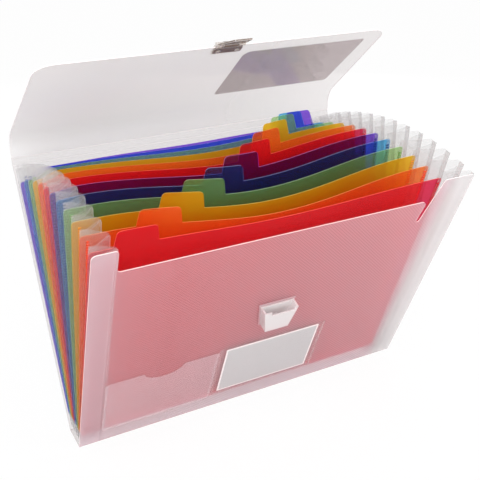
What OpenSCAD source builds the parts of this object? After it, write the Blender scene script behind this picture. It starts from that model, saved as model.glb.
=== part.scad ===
// Expanding divider file: a folding cover, index dividers between pleated side gussets,
// a bent lid with a clip tongue, and a catch, a label sleeve and a card pocket on the front.
// X runs along the spine, -Y is the front, +Z is up. The origin is the middle of the spine's underside.

/* [Cover] */
// Width of the cover along the spine
cover_w = 340; // [300:1:380]
// Depth of the spine panel between its two folds
spine_d = 27; // [24:0.5:34]
// Height of the back panel from its fold to the lid crease
back_h = 246; // [230:1:260]
// Height of the front panel's ears above its fold
front_h = 247; // [230:1:260]
// How far the front panel's top edge lies below its ears
front_drop = 22; // [14:1:30]
// Thickness of the cover sheet
cover_t = 0.8; // [0.6:0.1:1.0]
// Lean of the front panel away from upright
front_lean = 22.5; // [14:0.5:24]
// Lean of the back panel away from upright
back_lean = 25; // [16:0.5:26]
// Width of each ear on the front panel's left end
ear_w = 20; // [16:1:24]

/* [Dividers] */
// Width of the side gusset beyond a divider's right end
gusset_w = 25; // [15:1:30]
// How far a divider's tabs start from its left end
tab_in = 17; // [10:1:24]
// Height of a divider's top edge above the spine
div_top = 240; // [226:1:242]
// Height of a divider's bottom edge above the spine
div_bot = 15; // [10:1:24]
// Thickness of a divider sheet
div_t = 0.4; // [0.3:0.1:0.6]
// Width of an index tab
tab_w = 37; // [28:1:44]
// Height of an index tab above its sheet
tab_h = 15; // [10:1:17]
// Spacing of the dividers along the spine
div_pitch = 2.1; // [2:0.05:2.2]

/* [Gussets] */
// Thickness of the pleated film
film_t = 0.3; // [0.2:0.05:0.4]
// Height of the pleats above the spine
gusset_top = 246; // [225:1:255]
// How far the left pleats fold inwards in front of the dividers
flap_w = 21; // [15:1:22]

/* [Lid] */
// Width of the strip between the two lid creases
crease_gap = 7; // [5:0.5:10]
// Length of the lid's upright part, from the upper crease to the bend
lid_rise = 19; // [17:1:26]
// Length of the lid from the bend to its free edge
lid_len = 131; // [115:1:145]
// Angle of the lid's bend
lid_bend = 51; // [45:1:56]
// Radius of the lid's bend
bend_r = 28; // [20:1:32]
// How much narrower each side of the lid is at its free edge
lid_taper = 6; // [0:1:12]

/* [Lock] */
// Width of the catch at its mouth
catch_w = 33; // [28:1:38]
// Height of the catch
catch_h = 25; // [22:1:32]
// Depth of the catch in front of the panel
catch_d = 9; // [8:0.5:12]
// Height of the catch's foot above the spine
catch_u = 114; // [108:1:118]
// Wall of the catch
catch_wall = 1.2; // [1:0.1:1.6]
// Length of the tongue in front of its pin
tongue_len = 25; // [20:1:28]
// Thickness of the tongue
tongue_t = 1.6; // [1.2:0.1:2.0]
// Angle of the tongue above level
tongue_lift = 17; // [0:1:24]

/* [Front pockets] */
// Width of the label card
card_w = 96; // [86:1:98]
// Height of the label card
card_h = 63; // [54:1:63]

/* [Hidden] */
n_div = 12;
half_w = cover_w / 2;
div_l = -half_w + 1.5;
div_r = half_w - gusset_w;
hinge_r = cover_t / 2 + 0.05;
end_gap = (spine_d - (n_div - 1) * div_pitch) / 2;
fan = (front_lean + back_lean) / n_div;
colours = ["#d3202a", "#ef6a24", "#f2b632", "#4f9c58", "#2f62c0", "#6a3fae"];
tints = ["red", "orange", "yellow", "green", "blue", "violet"];
clear = "#e9edf0";
// the lid's creases and bend, in the Y-Z plane
crease_1 = [spine_d / 2 + back_h * sin(back_lean), hinge_r + back_h * cos(back_lean)];
strip_lean = -back_lean / 2;
crease_2 = crease_1 + crease_gap * [-sin(strip_lean), cos(strip_lean)];
bend_cut = bend_r * tan(lid_bend / 2);
bend_at = crease_2 + [0, lid_rise];
// the front pockets
sleeve_x = -45;
sleeve_w = card_w + 13;
sleeve_u = 20;
sleeve_h = card_h + 8;
pocket_w = 105;
pocket_h = 70;
// the lid's pocket: its left side, and its lower edge above the bend
lid_pocket_x = 20;
lid_pocket_low = 23;
// the lock
pin_r = 1;
knuckle_r = 2.4;
tongue_w = catch_w - 6;
rivet_r = 1.5;
// the step in the catch's front lip
lip_in = 7;
lip_drop = 4;

function two(k) = str(k < 10 ? "0" : "", k);
function divider_name(k) = str("divider_", two(k), "_", tints[(k - 1) % 6]);
function gusset_name(k) = str("gusset_", two(k));
// sheet 0 is the front panel, sheets 1 to 12 are the dividers, and sheet 13 is the back panel
function sheet_y(k) = k < 0.5 ? -spine_d / 2 : k > n_div + 0.5 ? spine_d / 2
    : -spine_d / 2 + end_gap + (k - 1) * div_pitch;
function sheet_z(k) = k < 0.5 || k > n_div + 0.5 ? hinge_r : cover_t;
function sheet_lean(k) = k < 0.5 ? front_lean : k > n_div + 0.5 ? -back_lean
    : front_lean - fan * (k - 0.5);

// children stand on sheet k: x along the spine, y through the sheet, z up the sheet
module on_sheet(k) translate([0, sheet_y(k), sheet_z(k)]) rotate([sheet_lean(k), 0, 0]) children();

// a flat outline in x and height becomes a sheet of thickness t, centred on its plane
module sheet(t) rotate([90, 0, 0]) translate([0, 0, -t / 2]) linear_extrude(t) children();

module rounded_box(x, y, w, h, r) translate([x + r, y + r]) offset(r = r, $fn = 32) square([w - 2 * r, h - 2 * r]);

// a round bead along the fold that the sheet turns on
module fold_bead(r) rotate([0, 90, 0]) cylinder(h = cover_w, r = r, center = true, $fn = 24);

module spine_panel() color(clear) {
    translate([-half_w, -spine_d / 2 + 0.6, 0]) cube([cover_w, spine_d - 1.2, cover_t]);
    for (k = [1:n_div]) translate([0, sheet_y(k), sheet_z(k)])
        rotate([0, 90, 0]) cylinder(h = 2 * div_r, r = 0.35, center = true, $fn = 24);
}

module front_outline() {
    top = front_h - front_drop;
    slot_x = half_w - 48;
    difference() {
        rounded_box(-half_w, 0, cover_w, front_h, 4);
        // the cut-down top edge, rounded into the left ear
        offset(r = 3, $fn = 32) offset(delta = -3) polygon([[-half_w + ear_w, top], [slot_x, top],
            [slot_x, front_h + 12], [-half_w + ear_w, front_h + 12]]);
        // the slot beside the right ear
        hull() {
            translate([slot_x + 4.5, top - 22]) circle(r = 2, $fn = 32);
            translate([slot_x + 9, top + 3]) circle(r = 2.6, $fn = 32);
        }
        polygon([[slot_x - 4, top - 0.01], [slot_x + 11, top - 0.01], [slot_x + 18, front_h + 12],
            [slot_x - 4, front_h + 12]]);
        // the round corner between the top edge and the slot
        translate([slot_x + 0.1, top - 5]) difference() {
            square([7, 6]);
            circle(r = 5, $fn = 32);
        }
    }
    // square lower corners at the fold
    translate([-half_w, 0]) square([cover_w, 6]);
}

module front_panel() color("#e8dfe1") on_sheet(0) difference() {
    union() {
        sheet(cover_t) front_outline();
        fold_bead(hinge_r);
    }
    for (u = catch_rivet_u()) translate([0, 0, u]) rotate([90, 0, 0])
        cylinder(h = 4, r = rivet_r + 0.05, center = true, $fn = 32);
}

module back_panel() color("#e8dfe1") on_sheet(n_div + 1) {
    sheet(cover_t) translate([-half_w, 0]) square([cover_w, back_h - 0.6]);
    fold_bead(hinge_r);
}

module hinge_strip() color(clear) translate([0, crease_1[0], crease_1[1]]) rotate([strip_lean, 0, 0]) {
    sheet(cover_t) translate([-half_w, 0]) square([cover_w, crease_gap - 0.6]);
    fold_bead(hinge_r);
}

// children lie on the lid beyond its bend: x across, y through the sheet, z towards the free edge
module on_lid() translate([0, bend_at[0], bend_at[1]]) rotate([lid_bend, 0, 0]) children();

// the upright part and the bend, as a profile swept along the spine
module lid_profile() {
    steps = 20;
    centre = [crease_2[0] - bend_r, bend_at[1] - bend_cut];
    arc = [for (s = [-1, 1]) [for (i = [0:steps]) let (a = lid_bend * i / steps)
        centre + (bend_r + s * cover_t / 2) * [cos(a), sin(a)]]];
    run = 2 * [-sin(lid_bend), cos(lid_bend)];
    polygon(concat([[crease_2[0] - cover_t / 2, crease_2[1]]], arc[0], [arc[0][steps] + run, arc[1][steps] + run],
        [for (i = [steps:-1:0]) arc[1][i]], [[crease_2[0] + cover_t / 2, crease_2[1]]]));
}

module lid_outline() polygon(concat([[-half_w, bend_cut + 1], [half_w, bend_cut + 1]],
    corner(half_w - lid_taper, lid_len, 16, 0), corner(-half_w + lid_taper, lid_len, 16, 1)));

// points round one corner of the lid's free edge, right then left
function corner(x, z, r, side) = [for (i = [0:8]) let (a = 90 * (i / 8 + side), c = side == 0 ? x - r : x + r)
    [c + r * cos(a), z - r + r * sin(a)]];

module lid() color("#e3e1e0") difference() {
    union() {
        translate([-half_w, 0, 0]) rotate([90, 0, 90]) linear_extrude(cover_w) lid_profile();
        translate([0, crease_2[0], crease_2[1]]) fold_bead(hinge_r);
        on_lid() sheet(cover_t) lid_outline();
    }
    on_lid() for (x = clasp_rivet_x()) translate([x, 0, lid_len - 6]) rotate([90, 0, 0])
        cylinder(h = 4, r = rivet_r + 0.05, center = true, $fn = 32);
}

// a film pocket: a welded border on three sides and a film over it, from the pocket's outline
module film_pocket(x, u, w, h, lift) {
    difference() {
        sheet(lift) children();
        sheet(lift * 3) rounded_box(x + 2.5, u + 2.5, w - 5, h, 1);
    }
    translate([0, -lift / 2 - film_t / 2, 0]) sheet(film_t) children();
}

// the pocket inside the lid, with a large corner beside the clasp
module lid_pocket() color("#c9c6c8") {
    w = half_w - lid_pocket_x - 24;
    h = lid_len - bend_cut - lid_pocket_low - 13;
    r = 8;
    on_lid() translate([lid_pocket_x, -cover_t / 2 - 0.27, bend_cut + lid_pocket_low])
        film_pocket(0, 0, w, h, 0.5) union() {
        rounded_box(0, 0, w, h - r, 3);
        rounded_box(r, 0, w - r, h, 3);
        translate([r, h - r]) circle(r = r, $fn = 48);
    }
}

function tab_x(k) = div_l + tab_in + (k - 1) * (div_r - div_l - tab_in - tab_w) / (n_div - 1);

module divider(k) color(colours[(k - 1) % 6]) on_sheet(k) sheet(div_t) {
    rounded_box(div_l, div_bot, div_r - div_l, div_top - div_bot, 3);
    offset(r = 4, $fn = 32) offset(delta = -4)
        polygon([[tab_x(k), div_top - 12], [tab_x(k) + tab_w, div_top - 12],
            [tab_x(k) + tab_w - 3, div_top + tab_h], [tab_x(k) + 3, div_top + tab_h]]);
}

// a point on sheet k: x along the spine, u up the sheet, off through it
function on(k, x, u, off) = let (a = sheet_lean(k))
    [x, sheet_y(k) - u * sin(a) + off * cos(a), sheet_z(k) + u * cos(a) + off * sin(a)];

// half the thickness of sheet k and of the film on it
function film_off(k) = (k < 0.5 || k > n_div + 0.5 ? cover_t : div_t) / 2 + film_t / 2 + 0.03;

// the fold of pocket k at height u, where the film turns back, as its two corners
// share is its place between the two sheets
function fold_at(k, x, u, share) = let (d = [0, 0.8 * film_t, 0],
    m = on(k, x, u, 0) * (1 - share) + on(k + 1, x, u, 0) * share) [m - d, m + d];

// the film's line across a pleat of pocket k at height u: a weld, the fold, a weld
function weld_line(k, x, u, share) = concat(
    [for (i = [0, 1]) on(k, x[i], u, film_off(k))], fold_at(k, x[2], u, share),
    [for (i = [1, 0]) on(k + 1, x[i], u, -film_off(k + 1))]);

// the left pleat folds inwards, in front of the next divider
function left_line(k, u) = weld_line(k, [div_l + 0.2, div_l + 5.5, div_l + flap_w], u, k == n_div ? 0.45 : 0.72);

// the right pleat folds outwards, and at the ends of the row it lies on the cover
function right_line(k, u) = let (x = [div_r - 4, div_r + 0.2, half_w - 0.6], d = [0, 0.8 * film_t, 0])
    k == 0 ? let (f = on(0, x[2], u, film_off(0))) concat([on(0, x[1] + 1.8, u, film_off(0)), f, f + 2 * d],
        [for (i = [1, 0]) on(1, x[i], u, -film_off(1))])
    : k == n_div ? let (f = on(k + 1, x[2], u, -film_off(k + 1)))
        concat([for (i = [0, 1]) on(k, x[i], u, film_off(k))],
            [f - 2 * d, f, on(k + 1, x[1] + 1.8, u, -film_off(k + 1))])
    : weld_line(k, x, u, 0.32);

// which way the film's inner side lies at each point of that line: s is 1 inside and -1 outside
function pleat_side(s, a, b) = let (h = film_t / 2)
    concat([for (i = [1:a]) [0, s * h, 0]], [[-s * h, s * h, 0], [-s * h, -s * h, 0]],
        [for (i = [1:b]) [0, -s * h, 0]]);

// a pleat as one folded film, from its lines at the foot and the top, with a and b points before and after the fold
module pleat(low, high, a, b) {
    inside = pleat_side(1, a, b);
    outside = pleat_side(-1, a, b);
    n = len(low);
    ring = 2 * n;
    polyhedron(
        points = concat(low + outside, [for (i = [n - 1:-1:0]) low[i] + inside[i]],
            high + outside, [for (i = [n - 1:-1:0]) high[i] + inside[i]]),
        faces = concat(
            // each wall is twisted, so the inner and outer sides are split along the same diagonal
            [for (j = [0:n - 1]) let (m = j + 1) each [[j, m + ring, m], [j, j + ring, m + ring]]],
            [for (j = [n:ring - 1]) let (m = (j + 1) % ring) each [[j, j + ring, m], [m, j + ring, m + ring]]],
            [for (i = [0:n - 2]) each [[i, i + 1, ring - 1 - i], [i + 1, ring - 2 - i, ring - 1 - i]]],
            [for (i = [0:n - 2]) each [[ring + i, 2 * ring - 1 - i, ring + i + 1],
                [ring + i + 1, 2 * ring - 1 - i, 2 * ring - 2 - i]]]));
}

// the last pleat ends below the lid's crease
module gusset(k) color(clear) {
    top = k > n_div ? min(gusset_top, back_h - 3) : gusset_top;
    pleat(right_line(k - 1, 4), right_line(k - 1, top), k == 1 ? 1 : 2, k == n_div + 1 ? 1 : 2);
    pleat(left_line(k - 1, 4), left_line(k - 1, top), 2, 2);
}

function catch_rivet_u() = [catch_u + 5.2, catch_u + 11];
function clasp_rivet_x() = [-9, 9];
module catch_shape(w, h, u) polygon([[-w / 2 + 5, u], [w / 2 - 5, u], [w / 2, u + h], [-w / 2, u + h]]);

// children stand on the front panel's outer face, y towards the panel
module on_front(off) on_sheet(0) translate([0, -cover_t / 2 - 0.02 - off, 0]) children();

module catch_plate() color("#efe6e6") on_front(0.5) difference() {
    sheet(1) catch_shape(catch_w + 3, catch_h + 2.5, catch_u - 0.5);
    for (u = catch_rivet_u()) translate([0, 0, u]) rotate([90, 0, 0])
        cylinder(h = 4, r = rivet_r + 0.05, center = true, $fn = 32);
}

module catch_box() color("#f0eeec") on_front(1.02 + catch_d / 2) difference() {
    sheet(catch_d) catch_shape(catch_w, catch_h, catch_u);
    // the hollow, open at the top
    sheet(catch_d - 2 * catch_wall)
        catch_shape(catch_w - 2 * catch_wall, catch_h, catch_u + catch_wall * 2);
    // the lowered part of the front lip
    translate([-catch_w / 2 + lip_in, -catch_d, catch_u + catch_h - lip_drop])
        cube([catch_w - lip_in - catch_wall, catch_d / 2 + catch_wall + 0.05, 2 * lip_drop]);
    for (u = catch_rivet_u()) translate([0, 0, u]) rotate([-90, 0, 0])
        cylinder(h = catch_d, r = rivet_r + 0.05, $fn = 32);
}

// two rivets, each with a head on both sides of the panel
module catch_rivets() color("#dcdcdc") on_sheet(0) for (u = catch_rivet_u())
    translate([0, 0, u]) rotate([90, 0, 0]) {
        cylinder(h = cover_t / 2 + 1.04 + catch_wall + 0.06, r = rivet_r, $fn = 32);
        translate([0, 0, cover_t / 2 + 1.04 + catch_wall + 0.03]) cylinder(h = 0.8, r = rivet_r + 1, $fn = 32);
        translate([0, 0, -cover_t / 2 - 0.03]) cylinder(h = cover_t / 2 + 0.04, r = rivet_r, $fn = 32);
        translate([0, 0, -cover_t / 2 - 0.63]) cylinder(h = 0.6, r = rivet_r + 1.2, $fn = 32);
    }

// children sit on the pin at the lid's free edge
module on_pin() on_lid() translate([0, 0, lid_len + knuckle_r + 0.8]) children();

module barrel(x, len, r) translate([x, 0, 0]) rotate([0, 90, 0]) cylinder(h = len, r = r, center = true, $fn = 32);

module clasp_base() color(clear) difference() {
    union() {
        on_lid() translate([0, cover_t / 2 + 0.63, 0]) sheet(1.2)
            rounded_box(-tongue_w / 2, lid_len - 13, tongue_w, 13 + knuckle_r, 1.5);
        for (s = [-1, 1]) {
            on_pin() barrel(s * (tongue_w / 2 - 3), 6, knuckle_r);
            on_lid() translate([s * (tongue_w / 2 - 3) - 3, cover_t / 2 + 0.03, lid_len + 0.2])
                cube([6, 1.2, knuckle_r + 0.6]);
        }
    }
    // room for the tongue's barrel
    on_pin() barrel(0, tongue_w - 11.6, knuckle_r + 0.3);
    on_pin() barrel(0, tongue_w + 2, pin_r + 0.02);
    on_lid() for (x = clasp_rivet_x()) translate([x, 0, lid_len - 6]) rotate([90, 0, 0])
        cylinder(h = 8, r = rivet_r + 0.05, center = true, $fn = 32);
}

module clasp_backplate() color(clear) on_lid() translate([0, -cover_t / 2 - 0.43, 0]) difference() {
    sheet(0.8) rounded_box(-tongue_w / 2, lid_len - 9.5, tongue_w, 8.5, 1.5);
    for (x = clasp_rivet_x()) translate([x, 0, lid_len - 6]) rotate([90, 0, 0])
        cylinder(h = 4, r = rivet_r + 0.05, center = true, $fn = 32);
}

module clasp_rivets() color("#dcdcdc") on_lid() for (x = clasp_rivet_x())
    translate([x, 0, lid_len - 6]) rotate([-90, 0, 0]) {
        translate([0, 0, -cover_t / 2 - 0.9]) cylinder(h = cover_t + 2.2, r = rivet_r, $fn = 32);
        translate([0, 0, cover_t / 2 + 1.26]) cylinder(h = 0.7, r = rivet_r + 1, $fn = 32);
        translate([0, 0, -cover_t / 2 - 1.46]) cylinder(h = 0.6, r = rivet_r + 1, $fn = 32);
    }

// the tongue: a barrel on the pin and a plate that narrows to its tip, with a rim round a thin middle
module clasp_tongue() color("#8d8682") on_pin() rotate([90 - lid_bend - tongue_lift, 0, 0]) difference() {
    union() {
        barrel(0, tongue_w - 12.4, knuckle_r);
        sheet(tongue_t) polygon([[-tongue_w / 2 + 6.2, 0], [tongue_w / 2 - 6.2, 0],
            [tongue_w / 2 - 6.2, knuckle_r + 1], [tongue_w / 2, knuckle_r + 1.5],
            [tongue_w / 2 - 5.6, tongue_len], [-tongue_w / 2 + 5.6, tongue_len],
            [-tongue_w / 2, knuckle_r + 1.5], [-tongue_w / 2 + 6.2, knuckle_r + 1]]);
    }
    barrel(0, tongue_w, pin_r + 0.05);
    translate([0, -tongue_t, 0]) sheet(tongue_t) polygon([[-tongue_w / 2 + 4, knuckle_r + 4],
        [tongue_w / 2 - 4, knuckle_r + 4], [tongue_w / 2 - 8, tongue_len - 2.5],
        [-tongue_w / 2 + 8, tongue_len - 2.5]]);
}

module clasp_pin() color("#d9dadb") on_pin() barrel(0, tongue_w + 1, pin_r);

module label_sleeve() color("#f2f3f4") on_front(0.37)
    film_pocket(sleeve_x, sleeve_u, sleeve_w, sleeve_h, 0.7)
        rounded_box(sleeve_x, sleeve_u, sleeve_w, sleeve_h, 3);

module label_card() color("#cfcdcd") on_front(0.36) sheet(0.4)
    translate([sleeve_x + (sleeve_w - card_w) / 2, sleeve_u + 4]) square([card_w, card_h]);

module card_pocket() color("#e7d4d8") on_front(0.27)
    film_pocket(sleeve_x - pocket_w - 0.5, sleeve_u - 3, pocket_w, pocket_h, 0.5) difference() {
        rounded_box(sleeve_x - pocket_w - 0.5, sleeve_u - 3, pocket_w, pocket_h, 3);
        // the thumb notch in the top edge
        translate([sleeve_x - pocket_w + 52, sleeve_u - 3 + pocket_h]) scale([1, 0.55]) circle(r = 18, $fn = 48);
    }

spine_panel();
front_panel();
back_panel();
hinge_strip();
lid();
lid_pocket();
divider(1);  // divider_01_red
divider(2);  // divider_02_orange
divider(3);  // divider_03_yellow
divider(4);  // divider_04_green
divider(5);  // divider_05_blue
divider(6);  // divider_06_violet
divider(7);  // divider_07_red
divider(8);  // divider_08_orange
divider(9);  // divider_09_yellow
divider(10);  // divider_10_green
divider(11);  // divider_11_blue
divider(12);  // divider_12_violet
gusset(1);  // gusset_01
gusset(2);  // gusset_02
gusset(3);  // gusset_03
gusset(4);  // gusset_04
gusset(5);  // gusset_05
gusset(6);  // gusset_06
gusset(7);  // gusset_07
gusset(8);  // gusset_08
gusset(9);  // gusset_09
gusset(10);  // gusset_10
gusset(11);  // gusset_11
gusset(12);  // gusset_12
gusset(13);  // gusset_13
catch_plate();
catch_box();
catch_rivets();
clasp_base();
clasp_backplate();
clasp_rivets();
clasp_tongue();
clasp_pin();
label_sleeve();
label_card();
card_pocket();
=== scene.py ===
"""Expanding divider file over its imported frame: folding cover, dyed dividers, pleated gussets, lid and lock."""
import logging
from contextlib import contextmanager
from dataclasses import dataclass
from enum import Enum
from math import cos, pi, radians, sin, sqrt, tan
from typing import Any, Callable, Iterator, Sequence

import bmesh
import bpy
from bpy.types import Material, Mesh, Node, NodeSocket, NodeTree, Object
from mathutils import Matrix, Vector


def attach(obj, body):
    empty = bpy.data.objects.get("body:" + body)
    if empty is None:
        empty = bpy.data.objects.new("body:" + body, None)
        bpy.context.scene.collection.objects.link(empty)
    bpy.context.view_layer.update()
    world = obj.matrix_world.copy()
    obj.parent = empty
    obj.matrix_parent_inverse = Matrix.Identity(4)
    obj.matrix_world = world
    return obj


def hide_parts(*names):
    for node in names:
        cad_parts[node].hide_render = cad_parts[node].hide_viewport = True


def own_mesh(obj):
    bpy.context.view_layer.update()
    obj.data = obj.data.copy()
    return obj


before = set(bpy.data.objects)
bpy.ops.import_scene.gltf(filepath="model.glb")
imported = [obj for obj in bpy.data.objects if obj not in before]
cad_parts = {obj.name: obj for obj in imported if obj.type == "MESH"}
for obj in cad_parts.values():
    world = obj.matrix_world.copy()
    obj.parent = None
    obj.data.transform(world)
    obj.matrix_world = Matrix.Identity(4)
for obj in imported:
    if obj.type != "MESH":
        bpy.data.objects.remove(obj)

LOG = logging.getLogger("divider_file")
MM = 0.001
SHEET_UV = "Sheet"
PLASTIC_IOR = 1.49
WHITE = (1, 1, 1, 1)
SHARP = radians(40)  # edges that turn by more than this stay sharp
Point = tuple[float, float]
Triple = tuple[float, float, float]
Mats = Sequence[Material]
Box = tuple[float, float, float, float]


def linear(code: str) -> tuple[float, ...]:
    """Returns the linear RGBA of an sRGB colour that is written as "#rrggbb"."""
    parts = [int(code[i:i + 2], 16) / 255 for i in (1, 3, 5)]
    return (*[c / 12.92 if c <= 0.04045 else ((c + 0.055) / 1.055) ** 2.4 for c in parts], 1.0)


def add(tree: NodeTree, kind: str, ins: dict[str, Any] | Sequence[Any] = (), **props: Any) -> Node:
    """Adds a node with its settings and links.

    Args:
        tree: the node tree.
        kind: the node's type name, a shader node's without its prefix, and after a dot its operation.
        ins: its inputs, in order or by name: a value, an output socket, or a node for its first output.
        props: the node's own settings.

    Returns:
        The new node.
    """
    kind, _, operation = kind.partition(".")
    made = tree.nodes.new(kind if "Node" in kind else f"ShaderNode{kind}")
    for key, value in (props | ({"operation": operation} if operation else {})).items():
        setattr(made, key, value)
    for key, value in ins.items() if isinstance(ins, dict) else enumerate(ins):
        if isinstance(value, Node):
            value = value.outputs[0]
        if isinstance(value, NodeSocket):
            tree.links.new(value, made.inputs[key])
        else:
            made.inputs[key].default_value = value
    return made


def tilted(x: float, line: Point, lean: float, u: float, off: float = 0.0) -> Vector:
    """Returns a point, x along the spine, u up and off to the back of a plane that leans forward from a line."""
    (y, z), a = line, radians(lean)
    return Vector((x, y - u * sin(a) + off * cos(a), z + u * cos(a) + off * sin(a))) * MM


@dataclass(frozen=True)
class FileSizes:
    """The file's sizes in mm, the solids' own. Sheet 0 is the front, 1 to 12 are dividers, 13 is the back."""

    cover_w: float = 340.0
    spine_d: float = 27.0
    back_h: float = 246.0
    front_h: float = 247.0
    front_drop: float = 22.0
    cover_t: float = 0.8
    front_lean: float = 22.5
    back_lean: float = 25.0
    bead: float = 0.05  # how far a fold's bead stands out
    crease_cut: float = 0.35  # what a sheet loses to the bead at a lid crease
    gusset_w: float = 25.0
    flap_w: float = 21.0
    gusset_top: float = 246.0
    film_t: float = 0.3
    film_gap: float = 0.03
    div_in: float = 1.5
    div_top: float = 240.0
    div_bot: float = 15.0
    div_t: float = 0.4
    div_pitch: float = 2.1
    tab_in: float = 17.0
    tab_w: float = 37.0
    tab_h: float = 15.0
    crease_gap: float = 7.0
    lid_rise: float = 19.0
    lid_len: float = 131.0
    lid_bend: float = 51.0
    bend_r: float = 28.0
    lid_taper: float = 6.0
    n_div: int = 12

    back: int = n_div + 1  # the back sheet's number
    half_w: float = cover_w / 2
    div_l: float = -half_w + div_in  # a divider's left end
    div_r: float = half_w - gusset_w  # its right end
    hinge_r: float = cover_t / 2 + bead  # radius of the bead along a fold
    bend_cut: float = bend_r * tan(radians(lid_bend / 2))  # what the bend takes from each side
    middle: float = 120.0  # height of the line that a sheet's pieces fold flat on
    crease_1: Point = (spine_d / 2 + back_h * sin(radians(back_lean)), hinge_r + back_h * cos(radians(back_lean)))
    crease_2: Point = (crease_1[0] + crease_gap * sin(radians(back_lean / 2)),
                       crease_1[1] + crease_gap * cos(radians(back_lean / 2)))  # y and z of the lid's creases

    def tab_x(self, k: int) -> float:
        """Returns where the tab of divider k starts."""
        room = self.div_r - self.div_l - self.tab_in - self.tab_w
        return self.div_l + self.tab_in + (k - 1) * room / (self.n_div - 1)

    def film_off(self, k: int) -> float:
        """Returns how far the film's middle lies from the middle of sheet k."""
        return (self.cover_t if k in (0, self.back) else self.div_t) / 2 + self.film_t / 2 + self.film_gap

    def pivot(self, k: int) -> Point:
        """Finds the line that a sheet turns on.

        Args:
            k: the sheet's number.

        Returns:
            The line's y and z in mm.
        """
        if k in (0, self.back):
            return (self.spine_d / 2 if k else -self.spine_d / 2), self.hinge_r
        gap = (self.spine_d - (self.n_div - 1) * self.div_pitch) / 2
        return -self.spine_d / 2 + gap + (k - 1) * self.div_pitch, self.cover_t

    def lean(self, k: int) -> float:
        """Works out how far a sheet leans.

        Args:
            k: the sheet's number.

        Returns:
            Its lean towards the front, in degrees.
        """
        if k in (0, self.back):
            return -self.back_lean if k else self.front_lean
        return self.front_lean - (self.front_lean + self.back_lean) / self.n_div * (k - 0.5)

    def on(self, k: int, x: float, u: float, off: float = 0.0, turn: float = 0.0) -> Vector:
        """Returns a point of sheet k: x along the spine, u up and off through it, leaning by a further turn."""
        return tilted(x, self.pivot(k), self.lean(k) + turn, u, off)

    def normal(self, k: int) -> Vector:
        """Returns the direction through sheet k, towards the back."""
        a = radians(self.lean(k))
        return Vector((0, cos(a), sin(a)))

    def hub(self, k: int) -> Vector:
        """Returns the middle of sheet k, on which its pieces fold flat."""
        return self.on(k, 0, self.middle)

    def on_lid(self, x: float, w: float, off: float = 0.0) -> Vector:
        """Returns a point of the lid: x along the spine, w beyond its bend's corner and off to its outer face."""
        y, z = self.crease_2
        return tilted(x, (y, z + self.lid_rise), self.lid_bend, w, off)


SIZES = FileSizes()
BOWS = (1.3, 4.2, 4.9, 5.5, 6.0, 6.4, 6.7, 7.0, 7.4, 7.6, 7.4, 8.4)  # of each divider, in degrees


class Part(Enum):
    """Where on a divider a finish goes: its face, its cut edge or its weld marks."""

    FACE = ""
    EDGE = "_edge"
    WELD = "_weld"


class Dye(Enum):
    """The six divider colours: slot name, surface colour, colour of the light that passes one face, cut edge's
    colour, lighter as a painted highlight along the edge, and the surface's share of what is seen."""

    RED = ("divider_red", "#ce222d", "#ff96bb", "#ff7a6c", 0.30)
    ORANGE = ("divider_orange", "#fb6a2e", "#f9d8a4", "#ffa25c", 0.34)
    YELLOW = ("divider_yellow", "#f2ae24", "#f6f181", "#ffdc6a", 0.35)
    GREEN = ("divider_green", "#86b873", "#ebfadb", "#c9e8b4", 0.24)
    BLUE = ("divider_blue", "#2f4f92", "#aee7ff", "#8fc4ff", 0.12)
    VIOLET = ("divider_violet", "#453995", "#c1a2f4", "#b79cff", 0.06)

    @property
    def slot(self) -> str:
        """The record's material slot."""
        return self.value[0]

    @classmethod
    def of(cls, k: int) -> "Dye":
        """Returns the colour of divider k."""
        return list(cls)[(k - 1) % len(cls)]


def new_material(name: str) -> tuple[Material, NodeTree]:
    """Makes an empty node material.

    Args:
        name: its name.

    Returns:
        The material and its tree.
    """
    made = bpy.data.materials.new(name)
    made.use_nodes = True
    made.node_tree.nodes.clear()
    return made, made.node_tree


def sheet_axes(tree: NodeTree) -> tuple[NodeSocket, NodeSocket]:
    """Returns sockets with a sheet's own x and height in metres, from its UV map."""
    parts = add(tree, "SeparateXYZ", (add(tree, "UVMap", uv_map=SHEET_UV),))
    return parts.outputs[0], parts.outputs[1]


def uneven(tree: NodeTree, scale: float, detail: float, strength: float, deep: float = 0.001,
           solid: bool = False) -> tuple[Node, Node]:
    """Makes the uneven skin of a film or of a solid piece.

    Args:
        tree: the material's tree.
        scale: how many swells a metre has.
        detail: the finer layers of the pattern.
        strength: how strongly it bumps.
        deep: the bump's depth in metres.
        solid: whether it follows the object and not the sheet's own map.

    Returns:
        The pattern and the bump it gives.
    """
    place = add(tree, "TexCoord").outputs["Object"] if solid else add(tree, "UVMap", uv_map=SHEET_UV)
    noise = add(tree, "TexNoise", {"Vector": place, "Scale": scale, "Detail": detail})
    return noise, add(tree, "Bump", {"Strength": strength, "Distance": deep, "Height": noise})


def shaded(tree: NodeTree, colour: str, pattern: Node, low: float, high: float, span: Point = (0.0, 1.0),
           hue: Any = 1.0) -> Node:
    """Returns a colour whose brightness goes from low to high with a pattern, and with a share of its hue."""
    value = add(tree, "MapRange", (pattern, *span, low, high))
    return add(tree, "HueSaturation", {"Color": linear(colour), "Value": value, "Saturation": hue})


def scattering(tree: NodeTree, colour: Any, rough: Any, glow: float, bump: Any = None) -> Node:
    """Makes a plastic surface that also glows with the light behind it.

    Args:
        tree: the material's tree.
        colour: its colour, a value or a node.
        rough: its roughness, a number or a node.
        glow: the share of the light from behind.
        bump: its bump, if any.

    Returns:
        The shader.
    """
    skin = add(tree, "BsdfPrincipled", {"Base Color": colour, "Roughness": rough, "IOR": PLASTIC_IOR}
               | ({"Normal": bump} if bump else {}))
    lit = add(tree, "BsdfTranslucent", (colour,))
    return add(tree, "MixShader", (glow, skin, lit))


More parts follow.
